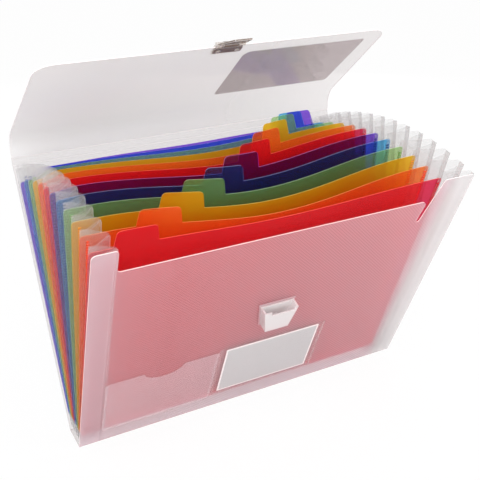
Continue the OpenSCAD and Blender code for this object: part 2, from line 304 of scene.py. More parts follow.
def see_through(tree: NodeTree, body: Node, tint: str, share: Any) -> None:
    """Mixes a surface with clear passage and links it to the output; lamps shine through with the passage's tint.

    Args:
        tree: the material's tree.
        body: the shader of the surface itself.
        tint: colour of the light that passes.
        share: the surface's share, a number or a node.
    """
    clear = add(tree, "BsdfTransparent", (linear(tint),))
    mixed = add(tree, "MixShader", (share, clear, body))
    lamp = add(tree, "LightPath").outputs["Is Shadow Ray"]
    lit = add(tree, "MixShader", (lamp, mixed, clear))
    add(tree, "OutputMaterial", (lit,))


@dataclass(frozen=True)
class FrostedPolypropylene:
    """Extruded polypropylene sheet with a diamond emboss: milky, satin, and clear enough to show what lies close
    behind."""

    name: str = "frosted_polypropylene"
    colour: str = "#f2f1f1"
    tint: str = "#f6f4f4"
    body: float = 0.2
    emboss_mm: float = 2.9  # the real emboss is about 2.3 mm, drawn coarser so that it shows
    relief: float = 0.04
    glow: float = 0.4
    roughness: float = 0.38
    haze: float = 14.0  # clouds in a metre
    sides: Point | None = None  # mm from the middle where the emboss fades out
    pink_cast_fade_mm: float = 10.0  # width in which the painted pink cast, the red divider's light painted into the colour, turns neutral before the right one
    milk_and_painted_light: tuple[Point, ...] = ()  # body at places across the width, painted light and shade: lighter towards the right of the front panel, darker towards the left of the lid

    def make(self) -> Material:
        """Builds the material.

        Returns:
            The material.
        """
        mat, t = new_material(self.name)
        x, u = sheet_axes(t)
        waves = []
        for kind in ("ADD", "SUBTRACT"):
            way = add(t, f"Math.{kind}", (x, u))
            way = add(t, "Math.MULTIPLY", (way, 2 * pi / (self.emboss_mm * MM)))
            waves.append(add(t, "Math.SINE", (way,)))
        hatch = add(t, "Math.ADD", (waves[0], waves[1]))
        # hue fades the painted pink cast to neutral near the right side
        hue: Any = 1.0
        if self.sides:
            start, end = self.sides
            out = add(t, "Math.ABSOLUTE", (x,))
            left, hue = [add(t, "MapRange", (value, low * MM, end * MM, 1, 0))
                         for value, low in ((out, start), (x, end - self.pink_cast_fade_mm))]
            hatch = add(t, "Math.MULTIPLY", (hatch, left))
        place = add(t, "UVMap", uv_map=SHEET_UV)
        haze = add(t, "TexNoise", {"Vector": place, "Scale": self.haze, "Detail": 2.0})
        base = self.roughness
        rough = add(t, "MapRange", (haze, 0, 1, base - 0.05, base + 0.07))
        shade = shaded(t, self.colour, hatch, 1 - 2 * self.relief, 1.0, (-2.0, 2.0), hue)
        core = scattering(t, shade, rough, self.glow)
        see_through(t, core, self.tint, self.across(t, x) if self.milk_and_painted_light else self.body)
        return mat

    def across(self, tree: NodeTree, x: NodeSocket) -> Node:
        """Spreads the body across the width, which paints light and shade across the sheet.

        Args:
            tree: the material's tree.
            x: the place across the sheet.

        Returns:
            The body's share, a ramp through the given places: painted light and shade.
        """
        half = SIZES.half_w
        share = add(tree, "MapRange", (x, -half * MM, half * MM))
        ramp = add(tree, "ValToRGB", (share,))
        stops = ramp.color_ramp.elements
        for place, _ in self.milk_and_painted_light[:-2]:
            stops.new((place + half) / (2 * half))
        for stop, (place, level) in zip(stops, self.milk_and_painted_light):
            stop.position, stop.color = (place + half) / (2 * half), (level, level, level, 1)
        return ramp


@dataclass(frozen=True)
class DyedPolypropylene:
    """Dyed polypropylene film: satin, evenly coloured, a filter for the light that passes; its cut edge has a
    painted highlight.
    """

    dye: Dye
    part: Part = Part.FACE
    roughness: float = 0.34
    glow: float = 0.25
    edge_body: float = 0.75

    def make(self) -> Material:
        """Builds the material.

        Returns:
            The material.
        """
        _, colour, tint, edge, body = self.dye.value
        mat, t = new_material(f"dyed_polypropylene_{self.dye.name.lower()}{self.part.value}")
        grain, bump = uneven(t, scale=25.0, detail=2.0, strength=0.03)
        # the cut edge takes its lighter colour: a painted highlight along the edge
        shade = shaded(t, edge if self.part is Part.EDGE else colour, grain, low=0.95, high=1.05)
        core = scattering(t, shade, self.roughness, self.glow, bump)
        see_through(t, core, tint, body if self.part is Part.FACE else self.edge_body)
        return mat


@dataclass(frozen=True)
class ClearFilm:
    """Thin clear polypropylene film: almost colourless, glossy, whitened where it is folded or welded."""

    name: str
    colour: str = "#f5f6f6"
    tint: str = "#fdfcfc"
    body: float = 0.06
    roughness: float = 0.16
    glow: float = 0.35
    folds: bool = False
    white: float = 0.55  # body where a fold has whitened it
    crease_top: float = 0.241  # where the slanting crease meets the fold, in metres up the film
    crease_fall: float = 0.9
    crease_reach: float = 0.009
    crease_line: Point = (0.0002, 0.0006)  # half the width of its core and of the whole
    crease_white: float = 0.6

    def make(self) -> Material:
        """Builds the material.

        Returns:
            The material.
        """
        mat, t = new_material(self.name)
        _, bump = uneven(t, scale=30.0, detail=1.0, strength=0.03)
        core = scattering(t, linear(self.colour), self.roughness, self.glow, bump)
        see_through(t, core, self.tint, self.whitening(t) if self.folds else self.body)
        return mat

    def whitening(self, tree: NodeTree) -> Node:
        """Whitens the fold and a slanting crease at the top of the pleat.

        Args:
            tree: the material's tree.

        Returns:
            The body's share.
        """
        s, u = sheet_axes(tree)
        half = self.crease_reach / 2
        fall = add(tree, "Math.MULTIPLY_ADD", (s, self.crease_fall, u))
        off = add(tree, "Math.SUBTRACT", (fall, self.crease_top))
        off = add(tree, "Math.ABSOLUTE", (off,))
        line = add(tree, "MapRange", (off, *self.crease_line, self.crease_white, 0))
        ends = add(tree, "Math.COMPARE", (s, half, half))
        crease = add(tree, "Math.MULTIPLY", (line, ends))
        folded = add(tree, "Attribute", attribute_name="whitened").outputs["Fac"]
        marks = add(tree, "Math.MAXIMUM", (folded, crease))
        return add(tree, "MapRange", (marks, 0, 1, self.body, self.white))


@dataclass(frozen=True)
class GlossFilm:
    """Calendered clear film, smooth as glass: it mirrors what stands before it when seen at a low angle."""

    name: str = "gloss_film"
    tint: str = "#e1dcdc"
    shine: str = "#f4f2f3"
    roughness: float = 0.09
    mirror: float = 0.26
    ior: float = 1.35

    def make(self) -> Material:
        """Builds the material.

        Returns:
            The material.
        """
        mat, t = new_material(self.name)
        _, bump = uneven(t, scale=9.0, detail=1.0, strength=0.05, deep=0.002)
        edge = add(t, "Fresnel", (self.ior, bump))
        share = add(t, "Math.MULTIPLY", (edge, self.mirror))
        clear = add(t, "BsdfTransparent", (linear(self.tint),))
        shine = add(t, "BsdfGlossy", {"Color": linear(self.shine), "Roughness": self.roughness, "Normal": bump})
        mixed = add(t, "MixShader", (share, clear, shine))
        add(t, "OutputMaterial", (mixed,))
        return mat


@dataclass(frozen=True)
class MouldedPlastic:
    """Injection-moulded plastic with a fine satin skin, for the lock's parts, their painted edge highlights and
    the whitened cut edges.
    """

    name: str
    colour: str
    roughness: float = 0.35
    share: float = 1.0
    grain_mm: float = 0.8

    def make(self) -> Material:
        """Builds the material.

        Returns:
            The material.
        """
        mat, t = new_material(self.name)
        grain, bump = uneven(t, 1 / (self.grain_mm * MM), detail=2.0, strength=0.05, deep=0.0001, solid=True)
        base = self.roughness
        rough = add(t, "MapRange", (grain, 0, 1, base - 0.04, base + 0.06))
        skin = add(t, "BsdfPrincipled", {"Base Color": linear(self.colour), "Roughness": rough,
                                         "IOR": PLASTIC_IOR, "Normal": bump})
        if self.share < 1.0:
            see_through(t, skin, self.colour, self.share)
        else:
            add(t, "OutputMaterial", (skin,))
        return mat


@dataclass(frozen=True)
class PlatedSteel:
    """Nickel-plated steel wire: bright, with fine draw marks."""

    name: str = "plated_steel"
    colour: str = "#dcdad6"
    marks: Triple = (300.0, 4000.0, 4000.0)  # in a metre, long along the pin
    roughness: Point = (0.14, 0.28)

    def make(self) -> Material:
        """Builds the material.

        Returns:
            The material.
        """
        mat, t = new_material(self.name)
        place = add(t, "TexCoord").outputs["Object"]
        drawn = add(t, "Mapping", {"Vector": place, "Scale": self.marks})
        marks = add(t, "TexNoise", {"Vector": drawn, "Scale": 1.0})
        rough = add(t, "MapRange", (marks, 0, 1, *self.roughness))
        skin = add(t, "BsdfPrincipled", {"Base Color": linear(self.colour), "Metallic": 1.0, "Roughness": rough})
        add(t, "OutputMaterial", (skin,))
        return mat


@dataclass(frozen=True)
class CardStock:
    """Uncoated card: matt, with a faint fibre mottle."""

    name: str
    colour: str
    fibre_mm: float = 1.5

    def make(self) -> Material:
        """Builds the material.

        Returns:
            The material.
        """
        mat, t = new_material(self.name)
        fibre, bump = uneven(t, 1 / (self.fibre_mm * MM), detail=4.0, strength=0.06, deep=0.0001, solid=True)
        shade = shaded(t, self.colour, fibre, low=0.97, high=1.03)
        skin = add(t, "BsdfPrincipled", {"Base Color": shade, "Roughness": 0.8, "Normal": bump})
        add(t, "OutputMaterial", (skin,))
        return mat


class Finishes:
    """All finishes of the file, each made once."""

    def __init__(self) -> None:
        """Makes the materials."""
        self.cover = FrostedPolypropylene().make()
        # the lid's body is heavier on the left: painted shade, darker towards the left
        self.lid = FrostedPolypropylene(
            "frosted_polypropylene_lid", milk_and_painted_light=((-170, 0.74), (-60, 0.44), (60, 0.24), (170, 0.05))).make()
        # the front's body rises towards the right: painted light, lighter towards the right
        self.front = FrostedPolypropylene(
            # its pink colour is painted light, the red divider's glow, turned neutral near the right side
            "frosted_polypropylene_front", "#feebf2", "#fefafb", relief=0.17, glow=0.5, sides=(125.0, 150.0),
            milk_and_painted_light=((-152.5, 0.45), (-151.5, 0.34), (-100, 0.31), (130, 0.44), (146, 0.42), (152, 0.5),
                  (158, 0.64))).make()
        self.rim = MouldedPlastic("cut_edge_polypropylene", "#f6eeee", 0.3).make()
        self.crease = FrostedPolypropylene("creased_polypropylene", "#fdfcfc", body=0.03).make()
        self.dyes = {(dye, part): DyedPolypropylene(dye, part).make() for part in Part for dye in Dye}
        self.film = ClearFilm("gusset_film", "#e2e1e1", "#fcfcfc", body=0.13, folds=True).make()
        self.pocket = ClearFilm("pocket_film", "#efe3e8", body=0.26, roughness=0.2).make()
        self.sleeve = ClearFilm("sleeve_film", body=0.05, roughness=0.2).make()
        self.weld = ClearFilm("welded_film", body=0.12, roughness=0.3).make()
        self.gloss = GlossFilm().make()
        self.catch = MouldedPlastic("moulded_polypropylene", "#e7e3e3", 0.32, 0.72).make()
        self.catch_plate = MouldedPlastic("moulded_polypropylene_thin", "#f3e6e9", 0.32, 0.35).make()
        # the catch's rounded edges are lighter than its body: a painted highlight
        self.catch_edge_highlight = MouldedPlastic("moulded_polypropylene_edge", "#fdfbfb", 0.25).make()
        self.clasp = MouldedPlastic("clear_polystyrene", "#efebe8", 0.12, 0.3).make()
        # the clasp's and the tongue's rounded edges are near white: a painted highlight
        self.clasp_edge_highlight = MouldedPlastic("clear_polystyrene_edge", "#f8f5f3", 0.15, 0.7).make()
        self.tongue = MouldedPlastic("smoked_polystyrene", "#a5968d", 0.12, 0.5).make()
        self.steel = PlatedSteel().make()
        self.card = CardStock("grey_card", "#c2c2c3").make()
        self.card_border = CardStock("white_card", "#f4f0f0").make()


@contextmanager
def editing(mesh: Mesh, source: Mesh | None = None) -> Iterator[bmesh.types.BMesh]:
    """Opens a mesh for editing and writes it back when done.

    Args:
        mesh: the mesh that is written.
        source: the mesh that is read, if it is another.

    Yields:
        The open mesh.
    """
    bm = bmesh.new()
    bm.from_mesh(source or mesh)
    yield bm
    bm.to_mesh(mesh)
    bm.free()


def show(name: str, data: bpy.types.ID) -> Object:
    """Puts something in the scene as an object at the origin.

    Args:
        name: the object's name.
        data: its mesh, light or camera.

    Returns:
        The object.
    """
    obj = bpy.data.objects.new(name, data)
    bpy.context.scene.collection.objects.link(obj)
    return obj


def freeze(obj: Object) -> Object:
    """Turns an object's evaluated shape into its plain mesh and drops its modifiers.

    Args:
        obj: the object.

    Returns:
        The same object.
    """
    graph = bpy.context.evaluated_depsgraph_get()
    shape = obj.evaluated_get(graph)
    mesh = bpy.data.meshes.new_from_object(shape, preserve_all_data_layers=True, depsgraph=graph)
    old = obj.data
    obj.modifiers.clear()
    obj.data = mesh
    mesh.name = obj.name
    bpy.data.meshes.remove(old)
    return obj


def piece(name: str, points: Sequence[Vector], faces: Sequence[Sequence[int]], mats: Mats,
          uv: Sequence[Point] | None = None) -> Object:
    """Makes an object from points and faces.

    Args:
        name: the piece's name.
        points: its points in metres.
        faces: its faces as point numbers.
        mats: its material slots.
        uv: each point's own place on the sheet, in mm.

    Returns:
        The object, at the origin.
    """
    mesh = bpy.data.meshes.new(name)
    mesh.from_pydata([tuple(p) for p in points], [], [tuple(f) for f in faces])
    for mat in mats:
        mesh.materials.append(mat)
    if uv is not None:
        layer = mesh.uv_layers.new(name=SHEET_UV)
        for loop in mesh.loops:
            layer.data[loop.index].uv = [c * MM for c in uv[loop.vertex_index]]
    mesh.shade_smooth()
    return show(name, mesh)


def thicken(obj: Object, thickness: float, rim: int = 0) -> Object:
    """Gives an open sheet its thickness, half on each side.

    Args:
        obj: the sheet.
        thickness: its thickness in mm.
        rim: how many slots after the face's own the cut edge takes its material from.

    Returns:
        The same object with a closed mesh.
    """
    mod = obj.modifiers.new("wall", "SOLIDIFY")
    mod.thickness = thickness * MM
    mod.offset = 0.0
    mod.material_offset_rim = rim
    freeze(obj)
    obj.data.set_sharp_from_angle(angle=SHARP)
    return obj


def flat_sheet(name: str, outline: Sequence[Point], place: Callable[[float, float], Vector],
               mats: Mats, thickness: float) -> Object:
    """Makes a flat sheet from a closed outline.

    Args:
        name: the piece's name.
        outline: points in mm on the sheet, in order.
        place: puts a point of the sheet in the frame.
        mats: the face's material and, if it has its own, the cut edge's.
        thickness: the sheet's thickness in mm.

    Returns:
        The closed piece.
    """
    obj = piece(name, [place(*p) for p in outline], [range(len(outline))], mats, outline)
    with editing(obj.data) as bm:
        bmesh.ops.triangulate(bm, faces=bm.faces[:], ngon_method="BEAUTY")
    return thicken(obj, thickness, len(mats) - 1)


def arc(cx: float, cy: float, r: float, start: float, end: float, steps: int = 8) -> list[Point]:
    """Returns points round an arc, its angles in degrees."""
    turns = [radians(start + (end - start) * i / steps) for i in range(steps + 1)]
    return [(cx + r * cos(a), cy + r * sin(a)) for a in turns]


def rounded(x: float, y: float, w: float, h: float, r: float, notch: Sequence[Point] = ()) -> list[Point]:
    """Returns the outline of a box with round corners and, if given, a notch in its top."""
    return (arc(x + w - r, y + r, r, -90, 0) + arc(x + w - r, y + h - r, r, 0, 90) + list(notch)
            + arc(x + r, y + h - r, r, 90, 180) + arc(x + r, y + r, r, 180, 270))


def corner_drop(d: float, r: float) -> float:
    """Returns how far a round corner of radius r falls at distance d from its side."""
    return r - sqrt(max(0.0, r * r - (r - d) ** 2)) if d < r else 0.0


def quads(rows: int, wide: int) -> list[list[int]]:
    """Returns the faces that join rows of points, each so many points wide, into one sheet."""
    return [[r * wide + c, r * wide + c + 1, (r + 1) * wide + c + 1, (r + 1) * wide + c]
            for r in range(rows - 1) for c in range(wide - 1)]


def softened(node: str, width: float, mats: Mats) -> Object:
    """Copies a solid and rounds its edges.

    Args:
        node: the solid's name.
        width: the rounding in mm.
        mats: the copy's material slots, the last one for the rounded edges.

    Returns:
        The rounded copy.
    """
    mesh = bpy.data.meshes.new(node)
    with editing(mesh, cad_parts[node].data) as bm:
        bmesh.ops.remove_doubles(bm, verts=bm.verts[:], dist=1e-6)
        bmesh.ops.dissolve_limit(bm, angle_limit=radians(1), verts=bm.verts[:], edges=bm.edges[:])
    for mat in mats:
        mesh.materials.append(mat)
    obj = show(f"{node}_moulded", mesh)
    mod = obj.modifiers.new("round", "BEVEL")
    mod.width = width * MM
    mod.segments = 3
    mod.limit_method = "ANGLE"
    mod.angle_limit = radians(35)
    mod.material = len(mats) - 1
    freeze(obj)
    obj.data.shade_smooth()
    obj.data.set_sharp_from_angle(angle=SHARP)
    return obj


def settle(obj: Object, body: str, slot: str, *nodes: str) -> None:
    """Puts a finished piece on its body and hides the solids it stands for.

    Args:
        obj: the piece.
        body: the body it rides.
        slot: its finish slot in the record; not used.
        nodes: the solids.
    """
    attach(obj, body)
    if nodes:
        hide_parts(*nodes)
    LOG.info("%s rides %s", obj.name, body)


def body_name(k: int) -> str:
    """Returns the body that sheet k belongs to."""
    return "front" if k == 0 else "back" if k == SIZES.back else f"divider_{k:02d}"


@dataclass
class Cover:
    """The folding cover: spine, front panel with its ears and slot, back panel and hinge strip."""

    sizes: FileSizes
    finish: Finishes
    ear_w: float = 20.0
    ear_r: float = 3.0
    corner: float = 4.0
    slot_in: float = 48.0  # from the sheet's right side to the slot's left one
    slot_deep: float = 22.0
    slot_r: float = 2.0
    slot_foot: float = 4.5  # this and the next three from the slot's left side
    flare_x: float = 18.2  # middle of the rounding at the top of its right side
    flare_foot: float = 11.0  # where that side has come down to the panel's edge
    lip_x: float = 0.1
    flare_r: float = 2.5
    lip_r: float = 5.0
    spine_cut: float = 0.6

    def front_outline(self) -> list[Point]:
        """Draws the front panel with its ears and slot.

        Returns:
            Its outline in mm: x along the spine and height up the sheet.
        """
        s, c, r = self.sizes, self.corner, self.ear_r
        top, high, h = s.front_h - s.front_drop, s.front_h, s.half_w
        slot, ear = h - self.slot_in, -h + self.ear_w
        flare = arc(slot + self.flare_x, high - self.flare_r, self.flare_r, 90, 168, 5)
        flare.append((slot + self.flare_foot, top))
        foot = arc(slot + self.slot_foot, top - self.slot_deep, self.slot_r, -10, -190, 10)
        lip = arc(slot + self.lip_x, top - self.lip_r, self.lip_r, 0, 90)
        return ([(-h, 0.0), (h, 0.0)] + arc(h - c, high - c, c, 0, 90) + flare + foot + lip
                + arc(ear + r, top + r, r, 270, 180, 6) + arc(ear - r, high - r, r, 0, 90, 6)
                + arc(-h + c, high - c, c, 90, 180))

    def build(self) -> None:
        """Builds and places the cover's pieces."""
        s, f = self.sizes, self.finish
        half, cut = s.spine_d / 2 - self.spine_cut, s.crease_cut

        def band(low: float, high: float) -> list[Point]:
            """Returns the outline of a band as wide as the cover."""
            return [(-s.half_w, low), (s.half_w, low), (s.half_w, high), (-s.half_w, high)]

        for name, outline, place, mats, body, node in (
                ("front_sheet", self.front_outline(), lambda x, u: s.on(0, x, u), [f.front, f.rim], "front",
                 "front_panel"),
                ("back_sheet", band(0, s.back_h - cut), lambda x, u: s.on(s.back, x, u), [f.cover], "back",
                 "back_panel"),
                ("spine_sheet", band(-half, half), lambda x, u: Vector((x, u, s.cover_t / 2)) * MM,
                 [f.cover, f.rim], "spine", "spine_panel"),
                ("hinge_sheet", band(cut, s.crease_gap - cut),
                 lambda x, u: tilted(x, s.crease_1, -s.back_lean / 2, u), [f.cover], "strip", "hinge_strip")):
            settle(flat_sheet(name, outline, place, mats, s.cover_t), body, "cover", node)
        for name, body, line in (("front_fold", "front", s.pivot(0)), ("back_fold", "back", s.pivot(s.back)),
                                 ("lid_crease_1", "strip", s.crease_1), ("lid_crease_2", "lid", s.crease_2)):
            settle(self.fold(name, *line), body, "cover")

    def fold(self, name: str, y: float, z: float) -> Object:
        """Builds the pressed bead along a fold.

        Args:
            name: the piece's name.
            y: the fold's place in mm.
            z: the fold's height in mm.

        Returns:
            The bead.
        """
        s = self.sizes
        ring = arc(y, z, s.hinge_r, 0, 330, 11)
        wide = len(ring) + 1
        points = [Vector((x, *p)) * MM for x in (-s.half_w, s.half_w) for p in ring + ring[:1]]
        faces = [face[::-1] for face in quads(2, wide)]
        faces += [list(range(wide - 1)), list(range(2 * wide - 2, wide - 1, -1))]
        obj = piece(name, points, faces, [self.finish.crease])
        with editing(obj.data) as bm:
            bmesh.ops.remove_doubles(bm, verts=bm.verts[:], dist=1e-7)
            bmesh.ops.recalc_face_normals(bm, faces=bm.faces[:])
        obj.data.set_sharp_from_angle(angle=SHARP)
        return obj


@dataclass
class Divider:
    """One dyed divider with its index tab, bowed forward between the gussets that hold its ends."""

    sizes: FileSizes
    number: int
    finish: Finishes
    bow: float
    rows: int = 10
    tab_rows: int = 4
    corner: float = 3.0
    tab_corner: float = 4.0
    tab_inset: Point = (1.33, 3.0)  # how far the tab's sides lie in at its foot and at its top
    peak: float = -15.0  # where along the spine the bow is deepest
    level: float = 20.0  # width of the left end that stays flat
    droop_x: Point = (22.0, 18.0)  # where, from the left end, the top begins to fall, and over what width
    droop_after: int = 4  # only sheets behind this one droop
    droop_step: float = 1.2  # each by so much more than the one before it
    flat: float = 1.0 / 25  # what is left of the bow when the bellows is shut

    def turn(self, x: float) -> float:
        """Bows the sheet.

        Args:
            x: mm along the spine.

        Returns:
            The bow as further lean, in degrees.
        """
        left, right = self.peak - self.sizes.div_l - self.level, self.sizes.div_r - self.peak
        side = (x - self.peak) / (right if x > self.peak else left)
        return self.bow * cos(pi / 2 * max(-1.0, min(1.0, side))) ** 2

    def droop(self, x: float) -> float:
        """Returns how far the top edge falls at x, as the film pulls the left corner of the rear sheets down."""
        share = max(0.0, min(1.0, (self.sizes.div_l + self.droop_x[0] - x) / self.droop_x[1]))
        return max(0.0, self.number - self.droop_after) * self.droop_step * share * share * (3 - 2 * share)

    def columns(self, foot: Point) -> list[float]:
        """Places the sheet's columns of points, close together at its corners and at the tab's.

        Args:
            foot: where the tab starts and ends at its foot.

        Returns:
            The columns in order, in mm along the spine.
        """
        s = self.sizes
        near, inside = (0.0, 0.25, 0.7, 1.4, 2.4, 4.0), (0, 0.3, 0.9, 1.8, 3.0)
        margin, parts, tab_parts = 6, 48, 6
        places = [foot[0] + d for d in near] + [foot[1] - d for d in near]
        places += [foot[0] + near[-1] + (foot[1] - foot[0] - 2 * near[-1]) * i / tab_parts
                   for i in range(1, tab_parts)]
        places += [s.div_l + d for d in inside] + [s.div_r - d for d in inside]
        places += [s.div_l + margin + i * (s.div_r - s.div_l - 2 * margin) / parts for i in range(parts + 1)]
        return sorted({round(x, 4) for x in places})

    def build(self) -> None:
        """Builds and places the sheet."""
        s, k = self.sizes, self.number
        low_in, high_in = self.tab_inset
        foot = (s.tab_x(k) + low_in, s.tab_x(k) + s.tab_w - low_in)
        width = foot[1] - foot[0]
        cols = self.columns(foot)
        tabbed = [foot[0] - MM <= x <= foot[1] + MM for x in cols]
        points: list[Point] = []
        for i in range(self.rows + 1):
            for x, in_tab in zip(cols, tabbed):
                cut = corner_drop(min(x - s.div_l, s.div_r - x), self.corner)
                low, high = s.div_bot + cut, s.div_top - (0.0 if in_tab else cut + self.droop(x))
                points.append((x, low + (high - low) * i / self.rows))
        faces = quads(self.rows + 1, len(cols))
        line = [self.rows * len(cols) + c for c, in_tab in enumerate(tabbed) if in_tab]
        tab = [x for x, in_tab in zip(cols, tabbed) if in_tab]
        for i in range(1, self.tab_rows + 1):
            up = i / self.tab_rows
            shift = (high_in - low_in) * up
            above = [len(points) + j for j in range(len(tab))]
            for x in tab:
                drop = corner_drop(min(x - foot[0], foot[1] - x), self.tab_corner)
                points.append((foot[0] + shift + (x - foot[0]) / width * (width - 2 * shift),
                               s.div_top + (s.tab_h - drop) * up))
            faces += [[line[j], line[j + 1], above[j + 1], above[j]] for j in range(len(tab) - 1)]
            line = above
        dye = Dye.of(k)
        obj = piece(f"divider_{k:02d}_sheet", [s.on(k, x, u, 0, self.turn(x)) for x, u in points], faces,
                    [self.finish.dyes[dye, part] for part in (Part.FACE, Part.EDGE)], points)
        thicken(obj, s.div_t, 1)
        settle(obj, body_name(k), dye.slot, f"divider_{k:02d}_{dye.name.lower()}")
        s.normal(k)
        s.hub(k)
        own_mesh(obj)


Pleat = tuple[list[Vector], Vector, Vector, list[Vector]]


@dataclass
class Gusset:
    """The pleated film at both ends of one pocket: welds on both sheets, and two walls that meet in a fold. The
    left pleat folds inwards, the right one outwards. At a height a pleat is its near weld, its fold's two corners
    and its far weld."""

    sizes: FileSizes
    pocket: int
    finish: Finishes
    shares: tuple[float, ...] = (0.0, 0.02, 0.06, 0.12, 0.2, 0.4, 0.7, 1.0)  # columns from the fold to the weld
    steps: int = 14
    foot: float = 4.0
    wall: float = 20.0
    right_shift: float = 60.0  # keeps the right pleat's places on the film apart from the left one's
    crease_room: float = 3.0  # how far below the lid's crease the last pleat ends
    rise: float = 0.8  # below 1, so that the rows stand closer at the top
    thin: float = 0.8  # share of the film's thickness that is drawn, so that layers stay apart
    flat: Point = (0.19, 0.11)  # what is left of an end pocket and of another one when the bellows is shut

    def welds(self, u: float, xs: Sequence[float]) -> tuple[list[Vector], list[Vector]]:
        """Returns the near and the far weld at height u, between two places along the spine."""
        s, k = self.sizes, self.pocket
        return ([s.on(k, x, u, s.film_off(k)) for x in xs],
                [s.on(k + 1, x, u, -s.film_off(k + 1)) for x in reversed(xs)])

    def right(self, u: float) -> Pleat:
        """Makes the right pleat, whose fold is a flat face.

        Args:
            u: the height in mm.

        Returns:
            The pleat at that height.
        """
        s, k = self.sizes, self.pocket
        inner, outer, on_cover = s.div_r + 0.2, s.half_w - 0.6, s.div_r + 2.0
        near, far = self.welds(u, (s.div_r - 4, inner))
        (start,), (end,) = self.welds(u, (outer,))
        first, last = 0.17, 0.47
        if k == 0:
            near, first, last = self.welds(u, (on_cover,))[0], 0.0, 0.3
        elif k == s.n_div:
            far, first, last = self.welds(u, (on_cover,))[1], 0.7, 1.0
        return near, start.lerp(end, first), start.lerp(end, last), far

    def left(self, u: float) -> Pleat:
        """Makes the left pleat, whose fold is sharp.

        Args:
            u: the height in mm.

        Returns:
            The pleat at that height.
        """
        s, k = self.sizes, self.pocket
        near, far = self.welds(u, (s.div_l + 0.2, s.div_l + 5.5))
        gap = Vector((0, 0.24, 0)) * MM
        deep, share = s.div_l + s.flap_w, 0.45 if k == s.n_div else 0.72
        fold = s.on(k, deep, u).lerp(s.on(k + 1, deep, u), share)
        return near, fold - gap, fold + gap, far

    def strip(self, line: Callable[[float], Pleat], r: float, inner: float,
              shift: float) -> tuple[list[Vector], list[list[int]], list[Point], list[float]]:
        """Lofts one pleat from its foot to its top, whose corner at the fold is round.

        Args:
            line: the pleat at a height.
            r: radius of the corner, in mm.
            inner: how much lower the top is at the fold than at the welds, in mm.
            shift: added to the distance from the fold in the film's own map.

        Returns:
            The points, faces, places on the film and share of whitening.
        """
        s = self.sizes
        top = s.back_h - self.crease_room if self.pocket == s.n_div else s.gusset_top
        points: list[Vector] = []
        places: list[Point] = []
        white: list[float] = []
        near, _, _, far = line(self.foot)
        columns = [(0, i, 1.0) for i in range(len(near) - 1)] + [(1, 0, t) for t in reversed(self.shares)]
        columns += [(2, 0, t) for t in self.shares] + [(3, i, 1.0) for i in range(1, len(far))]
        for i in range(self.steps + 1):
            for kind, index, t in columns:
                d = t * self.wall
                fall = corner_drop(d, r) + inner * (1 - t)
                u = self.foot + (top - fall - self.foot) * (i / self.steps) ** self.rise
                near, f1, f2, far = line(u)
                points.append(near[index] if kind == 0 else f1.lerp(near[-1], t) if kind == 1
                              else f2.lerp(far[0], t) if kind == 2 else far[index])
                places.append(((-d if kind < 2 else d) + shift, u))
                white.append(1.0 if t == 0.0 else 0.0)
        return points, quads(self.steps + 1, len(columns)), places, white

    def build(self) -> None:
        """Builds and places the pleats of both ends."""
        s, k = self.sizes, self.pocket
        points, faces, places, white = self.strip(self.left, 4.0, 3.0, 0.0)
        more = self.strip(self.right, 1.5, -2.0, self.right_shift)
        faces += [[i + len(points) for i in face] for face in more[1]]
        obj = piece(f"gusset_{k + 1:02d}_film", points + more[0], faces, [self.finish.film], places + more[2])
        layer = obj.data.attributes.new("whitened", "FLOAT", "POINT")
        layer.data.foreach_set("value", white + more[3])
        thicken(obj, s.film_t * self.thin)
        base = s.back if k == s.n_div else k
        settle(obj, body_name(base), "film", f"gusset_{k + 1:02d}")
        s.normal(base)
        s.hub(base)
        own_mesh(obj)


@dataclass
class Lid:
    """The lid: an upright strip, a rolled bend, a flat panel with round free corners, and the pocket inside."""

    sizes: FileSizes
    finish: Finishes
    corner: float = 15.0
    columns: int = 24
    bend_steps: int = 16
    pocket_x: float = 20.0
    pocket_low: float = 23.0
    pocket_side: float = 24.0
    pocket_high: float = 13.0
    pocket_off: float = 0.52  # how far the pocket's film stands off the lid
    pocket_r: Point = (3.0, 8.0)

    def build(self) -> None:
        """Builds and places the lid and its pocket."""
        s, f = self.sizes, self.finish
        cy, cz = s.crease_2
        straight = s.lid_rise - s.bend_cut
        stations = [(cy, cz + up, up) for up in (s.crease_cut, straight * 0.6)]
        for i in range(self.bend_steps + 1):
            a = radians(s.lid_bend * i / self.bend_steps)
            stations.append((cy - s.bend_r + s.bend_r * cos(a), cz + straight + s.bend_r * sin(a),
                             straight + s.bend_r * a))
        along = stations[-1][2]
        reach = s.lid_len - s.bend_cut
        tail = {reach * i / 14 for i in range(1, 13)}
        tail |= {reach - self.corner * (1 - sin(radians(a))) for a in range(0, 91, 9)}
        stations += [(0.0, 0.0, along + d) for d in sorted(tail)]
        points, uv = [], []
        for y, z, path in stations:
            far = path - along
            half = s.half_w - s.lid_taper * max(0.0, far) / reach - corner_drop(reach - far, self.corner)
            for c in range(self.columns + 1):
                x = half * (2 * c / self.columns - 1)
                points.append(s.on_lid(x, s.bend_cut + far) if far > 1e-6 else Vector((x, y, z)) * MM)
                uv.append((x, path))
        obj = piece("lid_sheet", points, quads(len(stations), self.columns + 1), [f.lid, f.rim], uv)
        thicken(obj, s.cover_t, 1)
        settle(obj, "lid", "cover", "lid")
        self.pocket()

    def pocket(self) -> None:
        """Builds the glossy film pocket inside the lid."""
        s, f = self.sizes, self.finish
        w = s.half_w - self.pocket_x - self.pocket_side
        h = s.lid_len - s.bend_cut - self.pocket_low - self.pocket_high
        c, r = self.pocket_r
        outline = (arc(w - c, c, c, -90, 0) + arc(w - c, h - c, c, 0, 90) + arc(r, h - r, r, 90, 180, 12)
                   + arc(c, c, c, 180, 270))
        off = -(s.cover_t / 2 + self.pocket_off + s.film_t / 2)
        film = flat_sheet("lid_pocket_film", outline, lambda x, u: s.on_lid(
            self.pocket_x + x, s.bend_cut + self.pocket_low + u, off), [f.gloss, f.weld], s.film_t)
        settle(film, "lid", "film", "lid_pocket")


